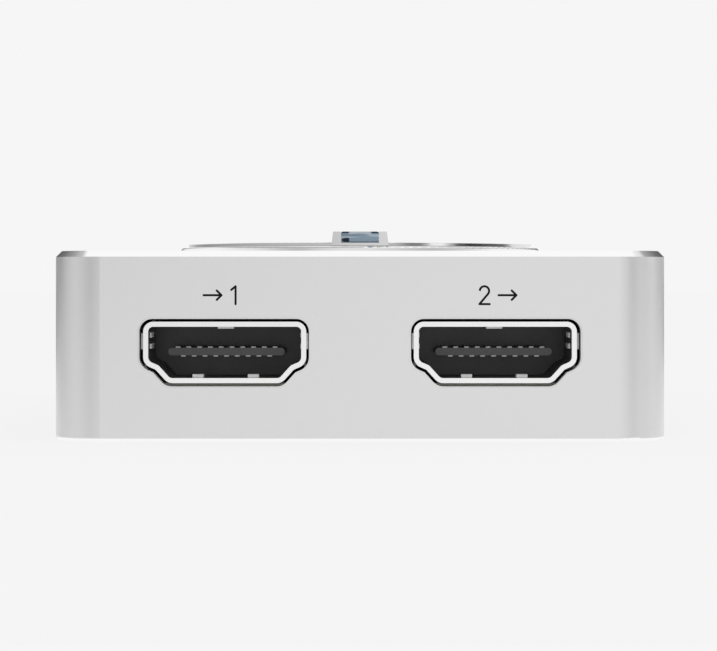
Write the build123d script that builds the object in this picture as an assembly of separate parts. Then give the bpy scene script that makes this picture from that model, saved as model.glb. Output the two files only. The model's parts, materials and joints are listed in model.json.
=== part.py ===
"""A video capture box: an aluminium casing with two video sockets in its front wall, a data socket and an
audio jack in its rear wall, and a flat level dial with a finger bar on its roof.

Frame: +Z up, the origin at the centre of the underside. The front wall, with the video sockets, faces -Y,
and +X is to the right of someone who looks at that wall. All sizes are in millimetres.
"""

from build123d import *
import os

# Casing
case_width = 56.4
case_depth = 96.0
case_height = 17.4
case_corner_radius = 4.5
case_wall = 1.5
case_roof = 1.6
case_top_chamfer = 0.55
case_foot_round = 0.35
socket_gap = 0.27
socket_edge_break = 0.12

# Base plate and its fasteners
base_thickness = 1.2
base_gap = 0.1
sheet_thickness = 0.2
sheet_margin = 0.8
base_post_radius = 2.4
base_post_inset = 2.3

# Machine screws, all of one size
screw_radius = 1.0
screw_gap = 0.15
screw_length = 5.0
screw_flat_head_radius = 1.9
screw_pan_head_radius = 1.8
screw_pan_head_height = 0.9
screw_flat_drop = 0.05
screw_drive_radius = 0.6
screw_drive_depth = 0.5
screw_pilot_spare = 1.0

# Circuit board
board_thickness = 1.6
board_edge_gap = 0.6
board_notch_gap = 0.4
board_post_radius = 2.4
board_post_inset = 2.2
board_front_post_y = -28.0
board_rear_post_y = 28.0
leg_gap = 0.15
leg_tail = 0.8

# Video sockets
port_inner_share = 0.695
port_axis_height = 8.1
video_recess = 1.1
video_depth = 11.0
video_opening_width = 14.0
video_opening_height = 4.7
video_lip = 0.46
video_lip_length = 0.8
video_sheet = 0.25
video_top_corner = 0.45
video_low_corner = 0.55
video_shoulder_share = -0.166
video_knee_width_share = 0.864
video_knee_share = -0.254
video_floor_width_share = 0.715
video_back_wall = 2.0
video_tongue_width = 10.8
video_tongue_thickness = 0.7
video_tongue_setback = 3.0
video_contact_pitch = 1.0
video_contact_width = 0.42
video_contact_thickness = 0.16
video_contact_setback = 0.25
video_contact_bite = 0.05
video_upper_contacts = 10
video_tail_width = 0.25
video_tail_reach = 0.9
video_foot_length = 0.9
video_spring_width = 1.0
video_spring_length = 3.4
video_spring_setback = 1.5
video_spring_nose = 0.2
video_spring_proud = 0.28
video_roof_spring_width = 1.45
video_roof_spring_proud = 0.2
video_floor_spring_offset = 2.55
video_side_spring_height = 0.45
video_side_window_length = 6.4
video_side_window_setback = 2.1
video_side_window_low = 0.52
video_side_window_pitch = 1.02
video_side_spring_proud = 0.12
video_clip_setback = 0.15
video_clip_length = 1.7
video_clip_proud = 0.18
video_leg_length = 1.6
video_front_leg_setback = 2.6
video_rear_leg_setback = 8.4

# Data socket
data_offset = 0.0
data_recess = 0.5
data_depth = 8.0
data_opening_width = 8.34
data_opening_height = 2.56
data_sheet = 0.3
data_back_wall = 2.2
data_tongue_width = 6.7
data_tongue_thickness = 0.7
data_tongue_setback = 0.9
data_contacts_per_row = 12
data_contact_pitch = 0.5
data_contact_width = 0.25
data_contact_thickness = 0.08
data_leg_length = 1.1
data_front_leg_setback = 2.2
data_rear_leg_setback = 6.2
data_foot_length = 0.8

# Audio jack
jack_wall_distance = 10.7
jack_cheek = 0.7
jack_skin = 0.1
jack_body_depth = 9.5
jack_bore_radius = 1.8
jack_collar_radius = 2.5
jack_flange_lip = 0.4
jack_flange_length = 0.5
jack_collar_seat = 1.4
jack_recess = 0.2
jack_hole_gap = 0.2
jack_back_wall = 1.0
jack_terminal_thickness = 0.25
jack_terminal_length = 1.5
jack_terminal_height = 3.0
jack_terminal_pitch = 2.9
jack_terminals_a_side = 2

# Level dial and the ring that it turns over
dial_radius = 18.8
dial_top_height = 1.24
dial_rim_gap = 0.03
dial_rim_round = 0.04
dial_skirt_inset = 2.9
dial_skirt_gap = 0.3
ring_height = 0.88
ring_lip_height = 0.1
ring_lip_gap = 0.1
ring_step = 0.95
ring_flare = 0.2
ring_skirt_gap = 0.4
ring_seat = 0.4
ring_seat_gap = 0.05
ring_edge_round = 0.28
bar_width = 5.85
bar_top_width = 5.53
bar_height = 1.11
bar_overhang = 0.3
bar_edge_round = 0.12
window_width = 3.87
window_depth = 1.15
window_length = 15.5
window_edge_round = 0.2
hub_radius = 4.0
hub_tail = 1.25
hub_bore_gap = 0.02
running_gap = 0.05
glide_inset = 1.4
glide_width = 2.0
bush_wall = 1.5
bush_flange_lip = 1.5
bush_flange_thickness = 0.7
washer_thickness = 0.3
clip_thickness = 0.5
clip_groove_depth = 0.5
clip_lip = 1.6
clip_mouth = 3.0

# Potentiometer under the dial
pot_width = 10.0
pot_depth = 11.0
pot_hub_gap = 0.28
pot_wafer_thickness = 0.5
pot_wall = 0.9
pot_rotor_thickness = 1.2
pot_rotor_gap = 0.2
pot_bushing_radius = 3.2
pot_bushing_height = 2.0
pot_shaft_radius = 2.0
pot_shaft_flat = 0.5
pot_shaft_spare = 0.8
pot_terminal_width = 0.8
pot_terminal_thickness = 0.4
pot_terminal_pitch = 2.5
pot_terminal_count = 3

# Chips, and the pad that carries the heat of the largest one to the roof
processor_width = 15.0
processor_height = 1.4
pad_thickness = 1.0
pad_margin = 1.5
memory_width = 9.0
memory_depth = 12.0
memory_height = 1.1
memory_gap = 2.5
video_chip_width = 6.0
video_chip_height = 0.9
video_chip_gap = 1.4
data_chip_width = 8.0
data_chip_height = 0.9
sound_chip_width = 4.0
sound_chip_height = 0.8

# Smaller parts on the board, with the places of the power parts as shares of the half width
coil_width = 5.0
coil_height = 3.0
coil_shares = (0.3, 0.55)
can_radius = 2.5
can_height = 5.6
can_base_height = 0.8
can_share = 0.8
crystal_length = 5.0
crystal_width = 3.2
crystal_height = 1.1
crystal_gap = 2.4
capacitor_length = 1.6
capacitor_width = 0.8
capacitor_height = 0.8
capacitor_pitch = 2.2
capacitors_in_row = 6
capacitor_row_gap = 2.5

# How far a cutting tool runs past the face that it cuts
overrun = 1.0

# Worked out from the sizes above
inner_half_width = case_width / 2 - case_wall
inner_half_depth = case_depth / 2 - case_wall
inner_radius = case_corner_radius - case_wall
roof_underside = case_height - case_roof
board_top = port_axis_height - video_opening_height / 2 - video_lip
board_bottom = board_top - board_thickness
corners = [(x, y) for x in (-1, 1) for y in (-1, 1)]
base_posts = [
    (x * (inner_half_width - base_post_inset), y * (inner_half_depth - base_post_inset))
    for x, y in corners
]
board_posts = [
    (x * (inner_half_width - board_post_inset), y)
    for x in (-1, 1)
    for y in (board_front_post_y, board_rear_post_y)
]
video_half_width = video_opening_width / 2 + video_lip
port_room = inner_half_width - base_post_inset - base_post_radius - 2 * video_half_width
port_offset = video_half_width + port_inner_share * port_room
ports = {"input": -port_offset, "loop": port_offset}
video_floor = -video_opening_height / 2 - video_lip
dial_top = case_height + dial_top_height
dial_rim_bottom = case_height + ring_height + dial_rim_gap
ring_ledge = ring_height - ring_lip_height
dial_skirt_radius = dial_radius - dial_skirt_inset
dial_skirt_bottom = case_height + dial_skirt_gap
ring_foot_radius = dial_radius + ring_step
ring_lip_radius = dial_radius + ring_lip_gap
ring_inner_radius = dial_skirt_radius + ring_skirt_gap
bar_top = dial_top + bar_height
bush_radius = hub_radius + bush_wall
bush_flange_radius = bush_radius + bush_flange_lip
bush_flange_bottom = roof_underside - bush_flange_thickness
washer_bottom = bush_flange_bottom - washer_thickness
clip_radius = hub_radius + clip_lip
clip_bottom = washer_bottom - running_gap - clip_thickness
clip_inner_radius = hub_radius - clip_groove_depth
hub_bottom = clip_bottom - hub_tail
pot_bushing_top = hub_bottom - pot_hub_gap
pot_top = pot_bushing_top - pot_bushing_height
pot_rotor_radius = pot_width / 2 - pot_wall - pot_rotor_gap
pot_rotor_bottom = board_top + pot_wafer_thickness + pot_rotor_gap
shaft_top = dial_skirt_bottom - pot_shaft_spare
data_axis_height = board_top + data_opening_height / 2 + data_sheet
data_floor = -data_opening_height / 2 - data_sheet
data_tails_y = case_depth / 2 - data_recess - data_depth - data_foot_length
jack_offset = inner_half_width - jack_wall_distance
jack_width = 2 * (jack_collar_radius + jack_cheek)
jack_height = 2 * (jack_collar_radius + jack_skin)
jack_axis_height = board_top + jack_height / 2
jack_seat_end = case_wall - jack_recess + board_edge_gap + jack_collar_seat
video_tails_y = -case_depth / 2 + video_recess + video_depth + video_tail_reach + video_foot_length
video_chip_y = video_tails_y + video_chip_gap + video_chip_width / 2
power_row_y = (video_chip_y + video_chip_width / 2 - pot_depth / 2) / 2
rear_chip_gap = (data_tails_y - pot_depth / 2 - processor_width - data_chip_width) / 3
processor_y = pot_depth / 2 + rear_chip_gap + processor_width / 2
processor_top = board_top + processor_height
pad_width = processor_width - 2 * pad_margin
data_chip_y = data_tails_y - rear_chip_gap - data_chip_width / 2


def block(width, depth, height, x=0, y=0, z=0):
    """A block centred on x and y, standing on z."""
    return Pos(x, y, z) * Box(width, depth, height, align=(Align.CENTER, Align.CENTER, Align.MIN))


def disc(radius, height, x=0, y=0, z=0):
    """An upright cylinder standing on z."""
    return Pos(x, y, z) * Cylinder(radius, height, align=(Align.CENTER, Align.CENTER, Align.MIN))


def rounded_plate(width, depth, radius, height, z=0):
    """A plate with rounded upright corners, standing on z."""
    return extrude(Plane.XY.offset(z) * RectangleRounded(width, depth, radius), height)


def front_plane(setback=0):
    """A plane that faces the front, this far behind the origin: its Y is the frame's +Z."""
    return Plane(origin=(0, setback, 0), x_dir=(1, 0, 0), z_dir=(0, -1, 0))


def plan(z):
    """A level plane at z, with its X along the frame's +Y and its Y along the frame's +X."""
    return Plane(origin=(0, 0, z), x_dir=(0, 1, 0), z_dir=(0, 0, -1))


def grow_back(outline, start, end):
    """An outline in X and Z, made solid from start to end along +Y."""
    return extrude(front_plane(start) * outline, end - start, dir=(0, 1, 0))


def video_outline(margin):
    """The mouth of a video socket, wide above and narrow below, grown outwards by margin."""
    half = video_opening_width / 2
    high = video_opening_height / 2
    shoulder = (half, video_shoulder_share * video_opening_height)
    knee = (half * video_knee_width_share, video_knee_share * video_opening_height)
    right = [(half, high), shoulder, knee, (half * video_floor_width_share, -high)]
    left = [(-x, z) for x, z in reversed(right)]
    outline = Polygon(*right, *left, align=None)
    upper = outline.vertices().filter_by(lambda v: v.Y > 0)
    outline = fillet(upper, video_top_corner)
    lower = outline.vertices().filter_by(lambda v: v.Y <= shoulder[1])
    outline = fillet(lower, video_low_corner)
    return offset(outline, margin) if margin else outline


def video_contact_places():
    """The X of each contact on the tongue, with 1 for the upper face and -1 for the lower."""
    upper = [
        ((i - (video_upper_contacts - 1) / 2) * video_contact_pitch, 1)
        for i in range(video_upper_contacts)
    ]
    lower = [(x + video_contact_pitch / 2, -1) for x, _ in upper[:-1]]
    return upper + lower


def video_contact(x, side):
    """One contact: a strip along the tongue, through the back wall, down and out on the board."""
    start = video_tongue_setback + video_contact_setback
    wall_front = video_depth - video_back_wall
    tail = video_depth + video_tail_reach - (video_tail_reach - video_contact_thickness) * (side > 0)
    level = side * (video_tongue_thickness / 2 - video_contact_bite + video_contact_thickness / 2)
    low = level - video_contact_thickness / 2
    strip = block(video_contact_width, wall_front - start, video_contact_thickness,
                  x, (start + wall_front) / 2, low)
    through = block(video_tail_width, tail - wall_front, video_contact_thickness,
                    x, (wall_front + tail) / 2, low)
    drop = block(video_tail_width, video_contact_thickness, low + video_contact_thickness - video_floor,
                 x, tail - video_contact_thickness / 2, video_floor)
    foot = block(video_tail_width, video_foot_length, video_contact_thickness,
                 x, tail - video_contact_thickness + video_foot_length / 2, video_floor)
    return strip + through + drop + foot


def video_contacts():
    return [video_contact(x, side) for x, side in video_contact_places()]


def video_spring_places():
    """The X, the side, the height above the liner and the width of each spring: one above and two below."""
    below = [(x * video_floor_spring_offset, -1, video_spring_proud, video_spring_width) for x in (-1, 1)]
    return [(0, 1, video_roof_spring_proud, video_roof_spring_width), *below]


def video_spring_outline(half, side, proud, setback, length):
    """The side view of a spring finger: from its root in the shell's wall to its tip, and back."""
    wall = side * (half + video_lip - video_sheet)
    tip = side * (half - proud)
    outline = Polygon(
        (setback, wall),
        (setback + video_spring_nose, tip),
        (setback + length / 2, tip),
        (setback + length, wall),
        align=None,
    )
    return outline - Pos(video_sheet / 2, side * video_sheet) * outline


def video_spring(x, side, proud, width):
    """A spring finger above or below the mouth, which bulges into it through the liner."""
    outline = video_spring_outline(
        video_opening_height / 2, side, proud, video_spring_setback, video_spring_length)
    side_plane = Plane(origin=(x - width / 2, 0, 0), x_dir=(0, 1, 0), z_dir=(1, 0, 0))
    return extrude(side_plane * outline, width, dir=(1, 0, 0))


def video_side_spring(side, row):
    """One of the two narrow spring fingers at each end of the mouth, in the liner's windows."""
    outline = video_spring_outline(
        video_opening_width / 2, side, video_side_spring_proud,
        video_side_window_setback, video_side_window_length - leg_gap)
    low = video_side_window_low + row * video_side_window_pitch - video_side_spring_height / 2
    return extrude(plan(low) * outline, video_side_spring_height, dir=(0, 0, 1))


def video_clip(side):
    """The clip at each end of the shell, outside, which holds it in the middle of the casing's hole."""
    wall = side * (video_opening_width / 2 + video_lip)
    outline = Polygon(
        (video_clip_setback, wall),
        (video_clip_setback, wall + side * video_clip_proud),
        (video_clip_setback + video_clip_length / 2, wall + side * video_clip_proud),
        (video_clip_setback + video_clip_length, wall),
        align=None,
    )
    low = video_side_window_low - video_side_spring_height / 2
    height = video_side_window_pitch + video_side_spring_height
    return extrude(plan(low) * outline, height, dir=(0, 0, 1))


def video_spring_windows():
    """The openings in the liner that the springs come through."""
    for x, side, _, width in video_spring_places():
        low = side * video_opening_height / 2 - video_lip / 2
        yield block(width + leg_gap, video_spring_length + leg_gap, video_lip,
                    x, video_spring_setback + video_spring_length / 2, low)


def video_side_windows():
    """The openings in the liner's sides, for the narrow spring fingers."""
    middle = video_side_window_setback + video_side_window_length / 2
    height = video_side_spring_height + leg_gap
    for row in (0, 1):
        low = video_side_window_low + row * video_side_window_pitch - height / 2
        for x in (-video_opening_width / 2, video_opening_width / 2):
            yield block(video_lip, video_side_window_length, height, x, middle, low)


def leg_places(half_width, front_setback, rear_setback):
    """The X and Y of the middle of each leg of a socket's shell."""
    return [(x * half_width, y) for x in (-1, 1) for y in (front_setback, rear_setback)]


def video_leg_places():
    half = video_opening_width / 2 + video_lip - video_sheet / 2
    return leg_places(half, video_front_leg_setback, video_rear_leg_setback)


def video_shell():
    """The metal shell, with a thick lip round its mouth and four legs through the board."""
    shell = grow_back(video_outline(video_lip), 0, video_depth)
    shell -= grow_back(video_outline(0), 0, video_lip_length)
    shell -= grow_back(video_outline(video_lip - video_sheet), video_lip_length, video_depth)
    for x, y in video_leg_places():
        bottom = video_floor - board_thickness - leg_tail
        shell += block(video_sheet, video_leg_length, -bottom, x, y, bottom)
    for place in video_spring_places():
        shell += video_spring(*place)
    for side in (-1, 1):
        shell += video_clip(side)
        for row in (0, 1):
            shell += video_side_spring(side, row)
    return shell


def video_insulator():
    """The moulding inside the shell: a thin liner, the back wall and the tongue."""
    wall_front = video_depth - video_back_wall
    insulator = grow_back(video_outline(video_lip - video_sheet), video_lip_length, video_depth)
    insulator -= grow_back(video_outline(0), video_lip_length, wall_front)
    tongue = SlotOverall(video_tongue_width, video_tongue_thickness)
    insulator += grow_back(tongue, video_tongue_setback, wall_front)
    for window in [*video_spring_windows(), *video_side_windows()]:
        insulator -= window
    return insulator - video_contacts()


def at_port(shape, x):
    """A piece of a video socket, moved from the socket's own frame to its place."""
    return Pos(x, -case_depth / 2 + video_recess, port_axis_height) * shape


def data_outline(margin):
    height = data_opening_height + 2 * margin
    return SlotOverall(data_opening_width + 2 * margin, height)


def data_contact_places():
    """The X of each contact of the data socket's tongue, with 1 for the upper face and -1 for the lower."""
    first = -(data_contacts_per_row - 1) / 2
    return [
        ((first + i) * data_contact_pitch, side)
        for side in (1, -1)
        for i in range(data_contacts_per_row)
    ]


def data_contact(x, side):
    """One contact of the data socket. An upper one ends in the back wall, and a lower one on the board."""
    wall_front = data_depth - data_back_wall
    level = side * data_tongue_thickness / 2
    low = level - data_contact_thickness / 2
    end = data_depth if side < 0 else data_depth - data_back_wall / 2
    start = data_tongue_setback + data_contact_width
    contact = block(data_contact_width, end - start, data_contact_thickness, x, (start + end) / 2, low)
    if side < 0:
        drop = low + data_contact_thickness - data_floor
        contact += block(data_contact_width, data_contact_thickness, drop,
                         x, end + data_contact_thickness / 2, data_floor)
        contact += block(data_contact_width, data_foot_length, data_contact_thickness,
                         x, end + data_foot_length / 2, data_floor)
    return contact


def data_contacts():
    return [data_contact(x, side) for x, side in data_contact_places()]


def data_leg_places():
    half = data_opening_width / 2 + data_sheet / 2
    return leg_places(half, data_front_leg_setback, data_rear_leg_setback)


def data_shell():
    """The seamless oval shell of the data socket, with four legs through the board."""
    shell = grow_back(data_outline(data_sheet), 0, data_depth)
    shell -= grow_back(data_outline(0), 0, data_depth)
    for x, y in data_leg_places():
        bottom = data_floor - board_thickness - leg_tail
        shell += block(data_sheet, data_leg_length, -bottom, x, y, bottom)
    return shell


def data_insulator():
    """The back wall and the tongue of the data socket."""
    wall_front = data_depth - data_back_wall
    insulator = grow_back(data_outline(0), wall_front, data_depth)
    tongue = SlotOverall(data_tongue_width, data_tongue_thickness)
    insulator += grow_back(tongue, data_tongue_setback, wall_front)
    return insulator - data_contacts()


def at_data(shape):
    """A piece of the data socket, turned to face the rear and moved to its place."""
    return Pos(data_offset, case_depth / 2 - data_recess, data_axis_height) * Rot(0, 0, 180) * shape


def jack_body():
    """The moulded body of the audio jack, with its blind bore and the seat of its collar."""
    start = jack_seat_end - jack_collar_seat
    body = block(jack_width, jack_body_depth, jack_height, 0, start + jack_body_depth / 2, -jack_height / 2)
    bore = Circle(jack_bore_radius)
    body -= grow_back(bore, start - overrun, start + jack_body_depth - jack_back_wall)
    return body - grow_back(Circle(jack_collar_radius), start, jack_seat_end)


def jack_collar():
    """The plated collar round the jack's mouth, which passes through the rear wall."""
    wall_back = case_wall - jack_recess
    flange = Circle(jack_collar_radius + jack_flange_lip)
    collar = grow_back(Circle(jack_collar_radius), 0, jack_seat_end)
    collar += grow_back(flange, wall_back, wall_back + jack_flange_length)
    return collar - grow_back(Circle(jack_bore_radius), 0, jack_seat_end)


def jack_terminal_places():
    """The X and Y of the middle of each terminal, on the two sides of the body."""
    half = jack_width / 2 + jack_terminal_thickness / 2
    return [
        (x * half, jack_seat_end + jack_terminal_length + i * jack_terminal_pitch)
        for x in (-1, 1)
        for i in range(jack_terminals_a_side)
    ]


def jack_terminals():
    """The terminals: flat tabs on the sides of the body that go down through the board."""
    bottom = -jack_height / 2 - board_thickness - leg_tail
    top = jack_terminal_height - jack_height / 2
    return [
        block(jack_terminal_thickness, jack_terminal_length, top - bottom, x, y, bottom)
        for x, y in jack_terminal_places()
    ]


def at_jack(shape):
    """A piece of the audio jack, turned to face the rear and moved to its place."""
    return Pos(jack_offset, case_depth / 2 - jack_recess, jack_axis_height) * Rot(0, 0, 180) * shape


def pot_terminal_places():
    """The X and Y of each terminal, in a row at the front of the potentiometer."""
    first = -(pot_terminal_count - 1) / 2
    y = -pot_depth / 2 - pot_terminal_thickness / 2
    return [((first + i) * pot_terminal_pitch, y) for i in range(pot_terminal_count)]


def pot_housing():
    """The potentiometer's housing and bushing, round the turning rotor."""
    bottom = board_top + pot_wafer_thickness
    housing = block(pot_width, pot_depth, pot_top - bottom, 0, 0, bottom)
    housing += disc(pot_bushing_radius, pot_bushing_height, 0, 0, pot_top)
    cavity = pot_rotor_thickness + 2 * pot_rotor_gap
    housing -= disc(pot_rotor_radius + pot_rotor_gap, cavity, 0, 0, bottom)
    return housing - disc(pot_shaft_radius + running_gap, pot_bushing_top - bottom, 0, 0, bottom)


def pot_wafer():
    """The resistor wafer that closes the housing at the board."""
    return block(pot_width, pot_depth, pot_wafer_thickness, 0, 0, board_top)


def pot_terminals():
    """The three terminals, from the wafer's front edge down through the board."""
    bottom = board_bottom - leg_tail
    top = board_top + pot_wafer_thickness
    return [
        block(pot_terminal_width, pot_terminal_thickness, top - bottom, x, y, bottom)
        for x, y in pot_terminal_places()
    ]


def shaft_section(radius, flat):
    """A round shaft with one flat, as a sketch."""
    across = 2 * radius
    return Circle(radius) - Pos(0, radius - flat + across / 2) * Rectangle(across, across)


def pot_shaft():
    """The rotor and the shaft, which turn with the dial. The flat starts above the bushing."""
    shaft = disc(pot_rotor_radius, pot_rotor_thickness, 0, 0, pot_rotor_bottom)
    shaft += disc(pot_shaft_radius, pot_bushing_top - pot_rotor_bottom, 0, 0, pot_rotor_bottom)
    section = Plane.XY.offset(pot_bushing_top) * shaft_section(pot_shaft_radius, pot_shaft_flat)
    return shaft + extrude(section, shaft_top - pot_bushing_top)


def bar_outline():
    """The end of the finger bar, from the rim of the dial to its narrower top."""
    low = dial_rim_bottom
    outline = Polygon(
        (-bar_width / 2, low),
        (bar_width / 2, low),
        (bar_top_width / 2, bar_top),
        (-bar_top_width / 2, bar_top),
        align=None,
    )
    upper = outline.vertices().filter_by(lambda v: v.Y > low + bar_height / 2)
    return fillet(upper, bar_edge_round)


def window_space():
    """The channel in the front half of the finger bar, open at its end and top."""
    front = -dial_radius - bar_overhang
    middle = front + window_length / 2
    return block(window_width, window_length, window_depth, 0, middle, bar_top - window_depth)


def dial():
    """The level dial in one piece: rim, skirt, bar, and the hub with its clip groove and shaft bore."""
    rim = disc(dial_radius, dial_top - dial_rim_bottom, 0, 0, dial_rim_bottom)
    rim = fillet(rim.edges().sort_by(Axis.Z)[-1], dial_rim_round)
    skirt = disc(dial_skirt_radius, dial_rim_bottom - dial_skirt_bottom, 0, 0, dial_skirt_bottom)
    hub = disc(hub_radius, dial_skirt_bottom - hub_bottom, 0, 0, hub_bottom)
    groove = disc(hub_radius, clip_thickness, 0, 0, clip_bottom)
    hub -= groove - disc(clip_inner_radius, clip_thickness, 0, 0, clip_bottom)
    half_length = dial_radius + bar_overhang
    bar = grow_back(bar_outline(), -half_length, half_length)
    section = shaft_section(pot_shaft_radius + hub_bore_gap, pot_shaft_flat)
    bore = extrude(Plane.XY.offset(hub_bottom) * section, shaft_top - hub_bottom)
    return rim + skirt + hub + bar - window_space() - bore


def dial_window():
    """The tinted window in the finger bar, with its long upper edges rounded off."""
    window = window_space()
    top = window.faces().sort_by(Axis.Z)[-1]
    return fillet(top.edges().filter_by(Axis.Y), window_edge_round)


def dial_ring():
    """The fixed ring round the dial's rim, with a low lip. Its outer wall flares to the roof's groove."""
    outline = Polyline(
        (ring_inner_radius, -ring_seat),
        (ring_foot_radius, -ring_seat),
        (ring_foot_radius, 0),
        (ring_foot_radius - ring_flare, ring_height),
        (ring_lip_radius, ring_height),
        (ring_lip_radius, ring_ledge),
        (ring_inner_radius, ring_ledge),
        close=True,
    )
    ring = revolve(Plane.XZ * make_face(outline), Axis.Z)
    edge = ring.edges().filter_by(GeomType.CIRCLE).sort_by(Axis.Z)[-2:].sort_by(SortBy.RADIUS)[-1]
    return Pos(0, 0, case_height) * fillet(edge, ring_edge_round)


def glide_ring():
    """The slippery ring that the dial's skirt runs on."""
    height = dial_skirt_gap - running_gap
    outer_radius = dial_skirt_radius - glide_inset
    ring = disc(outer_radius, height, 0, 0, case_height)
    return ring - disc(outer_radius - glide_width, height, 0, 0, case_height)


def dial_bush():
    """The flanged bush in the roof that the hub turns in, put in from inside."""
    bush = disc(bush_radius, case_roof, 0, 0, roof_underside)
    bush += disc(bush_flange_radius, bush_flange_thickness, 0, 0, bush_flange_bottom)
    bore = case_roof + bush_flange_thickness
    return bush - disc(hub_radius + running_gap, bore, 0, 0, bush_flange_bottom)


def thrust_washer():
    """The washer between the bush and the clip."""
    washer = disc(clip_radius, washer_thickness, 0, 0, washer_bottom)
    return washer - disc(hub_radius + running_gap, washer_thickness, 0, 0, washer_bottom)


def hub_clip():
    """The open spring clip in the hub's groove."""
    clip = disc(clip_radius, clip_thickness, 0, 0, clip_bottom)
    clip -= disc(clip_inner_radius, clip_thickness, 0, 0, clip_bottom)
    return clip - block(clip_mouth, 2 * clip_radius, clip_thickness, 0, clip_radius, clip_bottom)


def screw_pilot(x, y, z):
    """A threaded hole for one of the screws, upwards from z, as deep as its thread and a little more."""
    return disc(screw_radius, screw_length + screw_pilot_spare, x, y, z)


def case_post(radius, x, y, z):
    """A post that hangs from the roof down to z."""
    return disc(radius, roof_underside - z, x, y, z)


def socket_hole(outline, recess):
    """A hole through the wall, for a socket this far behind its outer face, with its outer edge broken."""
    hole = grow_back(outline, -recess - overrun, case_wall - recess + overrun)
    edge = offset(outline, socket_edge_break)
    return hole + grow_back(edge, -recess - overrun, socket_edge_break - recess)


def case():
    """The casing in one piece, open below: roof, walls, posts and the pedestal over the processor."""
    shell = rounded_plate(case_width, case_depth, case_corner_radius, case_height)
    shell = chamfer(shell.faces().sort_by(Axis.Z)[-1].edges(), case_top_chamfer)
    shell = fillet(shell.faces().sort_by(Axis.Z)[0].edges(), case_foot_round)
    shell -= rounded_plate(2 * inner_half_width, 2 * inner_half_depth, inner_radius, roof_underside)
    for x, y in base_posts:
        shell += case_post(base_post_radius, x, y, base_thickness)
        shell -= screw_pilot(x, y, base_thickness)
    for x, y in board_posts:
        shell += case_post(board_post_radius, x, y, board_top)
        shell -= screw_pilot(x, y, board_top)
    foot = processor_top + pad_thickness
    shell += block(pad_width, pad_width, roof_underside - foot, 0, processor_y, foot)
    for x in ports.values():
        shell -= at_port(socket_hole(video_outline(video_lip + socket_gap), video_recess), x)
    shell -= at_data(socket_hole(data_outline(data_sheet + socket_gap), data_recess))
    shell -= at_jack(socket_hole(Circle(jack_collar_radius + jack_hole_gap), jack_recess))
    shell -= disc(bush_radius, case_roof, 0, 0, roof_underside)
    groove = disc(ring_foot_radius + ring_seat_gap, ring_seat, 0, 0, case_height - ring_seat)
    groove -= disc(ring_inner_radius - ring_seat_gap, ring_seat, 0, 0, case_height - ring_seat)
    return shell - groove


def base_outline(gap):
    """The inside of the casing's foot, this much smaller all round."""
    return RectangleRounded(2 * (inner_half_width - gap), 2 * (inner_half_depth - gap), inner_radius - gap)


def flat_screw_head(gap):
    """The cone of a flat screw head that ends flush with the underside, this much larger all round."""
    height = screw_flat_head_radius - screw_radius
    return Cone(screw_flat_head_radius + gap, screw_radius + gap, height,
                align=(Align.CENTER, Align.CENTER, Align.MIN))


def base_plate():
    """The plate that closes the casing below, with its four countersunk holes."""
    plate = extrude(base_outline(base_gap), base_thickness)
    for x, y in base_posts:
        plate -= disc(screw_radius + screw_gap, base_thickness, x, y)
        plate -= Pos(x, y, 0) * flat_screw_head(screw_gap)
    return plate


def insulating_sheet():
    """The thin sheet on the base plate, cut back round the casing's posts."""
    sheet = extrude(Plane.XY.offset(base_thickness) * base_outline(sheet_margin), sheet_thickness)
    for x, y in base_posts:
        sheet -= disc(base_post_radius + board_notch_gap, sheet_thickness, x, y, base_thickness)
    return sheet


def screw_drive(z):
    """The recess for the driver, from z upwards."""
    return Pos(0, 0, z) * extrude(RegularPolygon(screw_drive_radius, 6), screw_drive_depth)


def flat_screw():
    """A flat-head screw that points up, its head flush with the underside of the base plate."""
    length = base_thickness + screw_length
    screw = disc(screw_radius, length - screw_flat_drop, 0, 0, screw_flat_drop)
    screw += Pos(0, 0, screw_flat_drop) * flat_screw_head(0)
    return screw - screw_drive(screw_flat_drop)


def base_screws():
    return [Pos(x, y, 0) * flat_screw() for x, y in base_posts]


def pan_screw():
    """A pan-head screw that points up, through the board into a post."""
    head = board_bottom - screw_pan_head_height
    screw = disc(screw_pan_head_radius, screw_pan_head_height, 0, 0, head)
    screw = chamfer(screw.edges().sort_by(Axis.Z)[0], screw_pan_head_height / 4)
    screw += disc(screw_radius, board_thickness + screw_length, 0, 0, board_bottom)
    return screw - screw_drive(head)


def board_screws():
    return [Pos(x, y, 0) * pan_screw() for x, y in board_posts]


def leg_slot(x, y, width, length):
    """A slot through the board round one leg."""
    return block(width + 2 * leg_gap, length + 2 * leg_gap, board_thickness, x, y, board_bottom)


def board_slots():
    """Every slot in the board for a leg or a terminal."""
    for port in ports.values():
        for x, y in video_leg_places():
            yield leg_slot(port + x, y - case_depth / 2 + video_recess, video_sheet, video_leg_length)
    for x, y in data_leg_places():
        yield leg_slot(data_offset - x, case_depth / 2 - data_recess - y, data_sheet, data_leg_length)
    for x, y in jack_terminal_places():
        yield leg_slot(jack_offset - x, case_depth / 2 - jack_recess - y,
                       jack_terminal_thickness, jack_terminal_length)
    for x, y in pot_terminal_places():
        yield leg_slot(x, y, pot_terminal_width, pot_terminal_thickness)


def main_board():
    """The circuit board, notched round the corner posts."""
    outline = Rectangle(2 * (inner_half_width - board_edge_gap), 2 * (inner_half_depth - board_edge_gap))
    board = extrude(Plane.XY.offset(board_bottom) * outline, board_thickness)
    reach = 2 * base_post_inset
    corner_cut = block(reach, reach, board_thickness, 0, 0, board_bottom)
    for x, y in corners:
        board -= Pos(x * inner_half_width, y * inner_half_depth, 0) * corner_cut
    for x, y in base_posts:
        board -= disc(base_post_radius + board_notch_gap, board_thickness, x, y, board_bottom)
    for x, y in board_posts:
        board -= disc(screw_radius + screw_gap, board_thickness, x, y, board_bottom)
    for slot in board_slots():
        board -= slot
    return board


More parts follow.
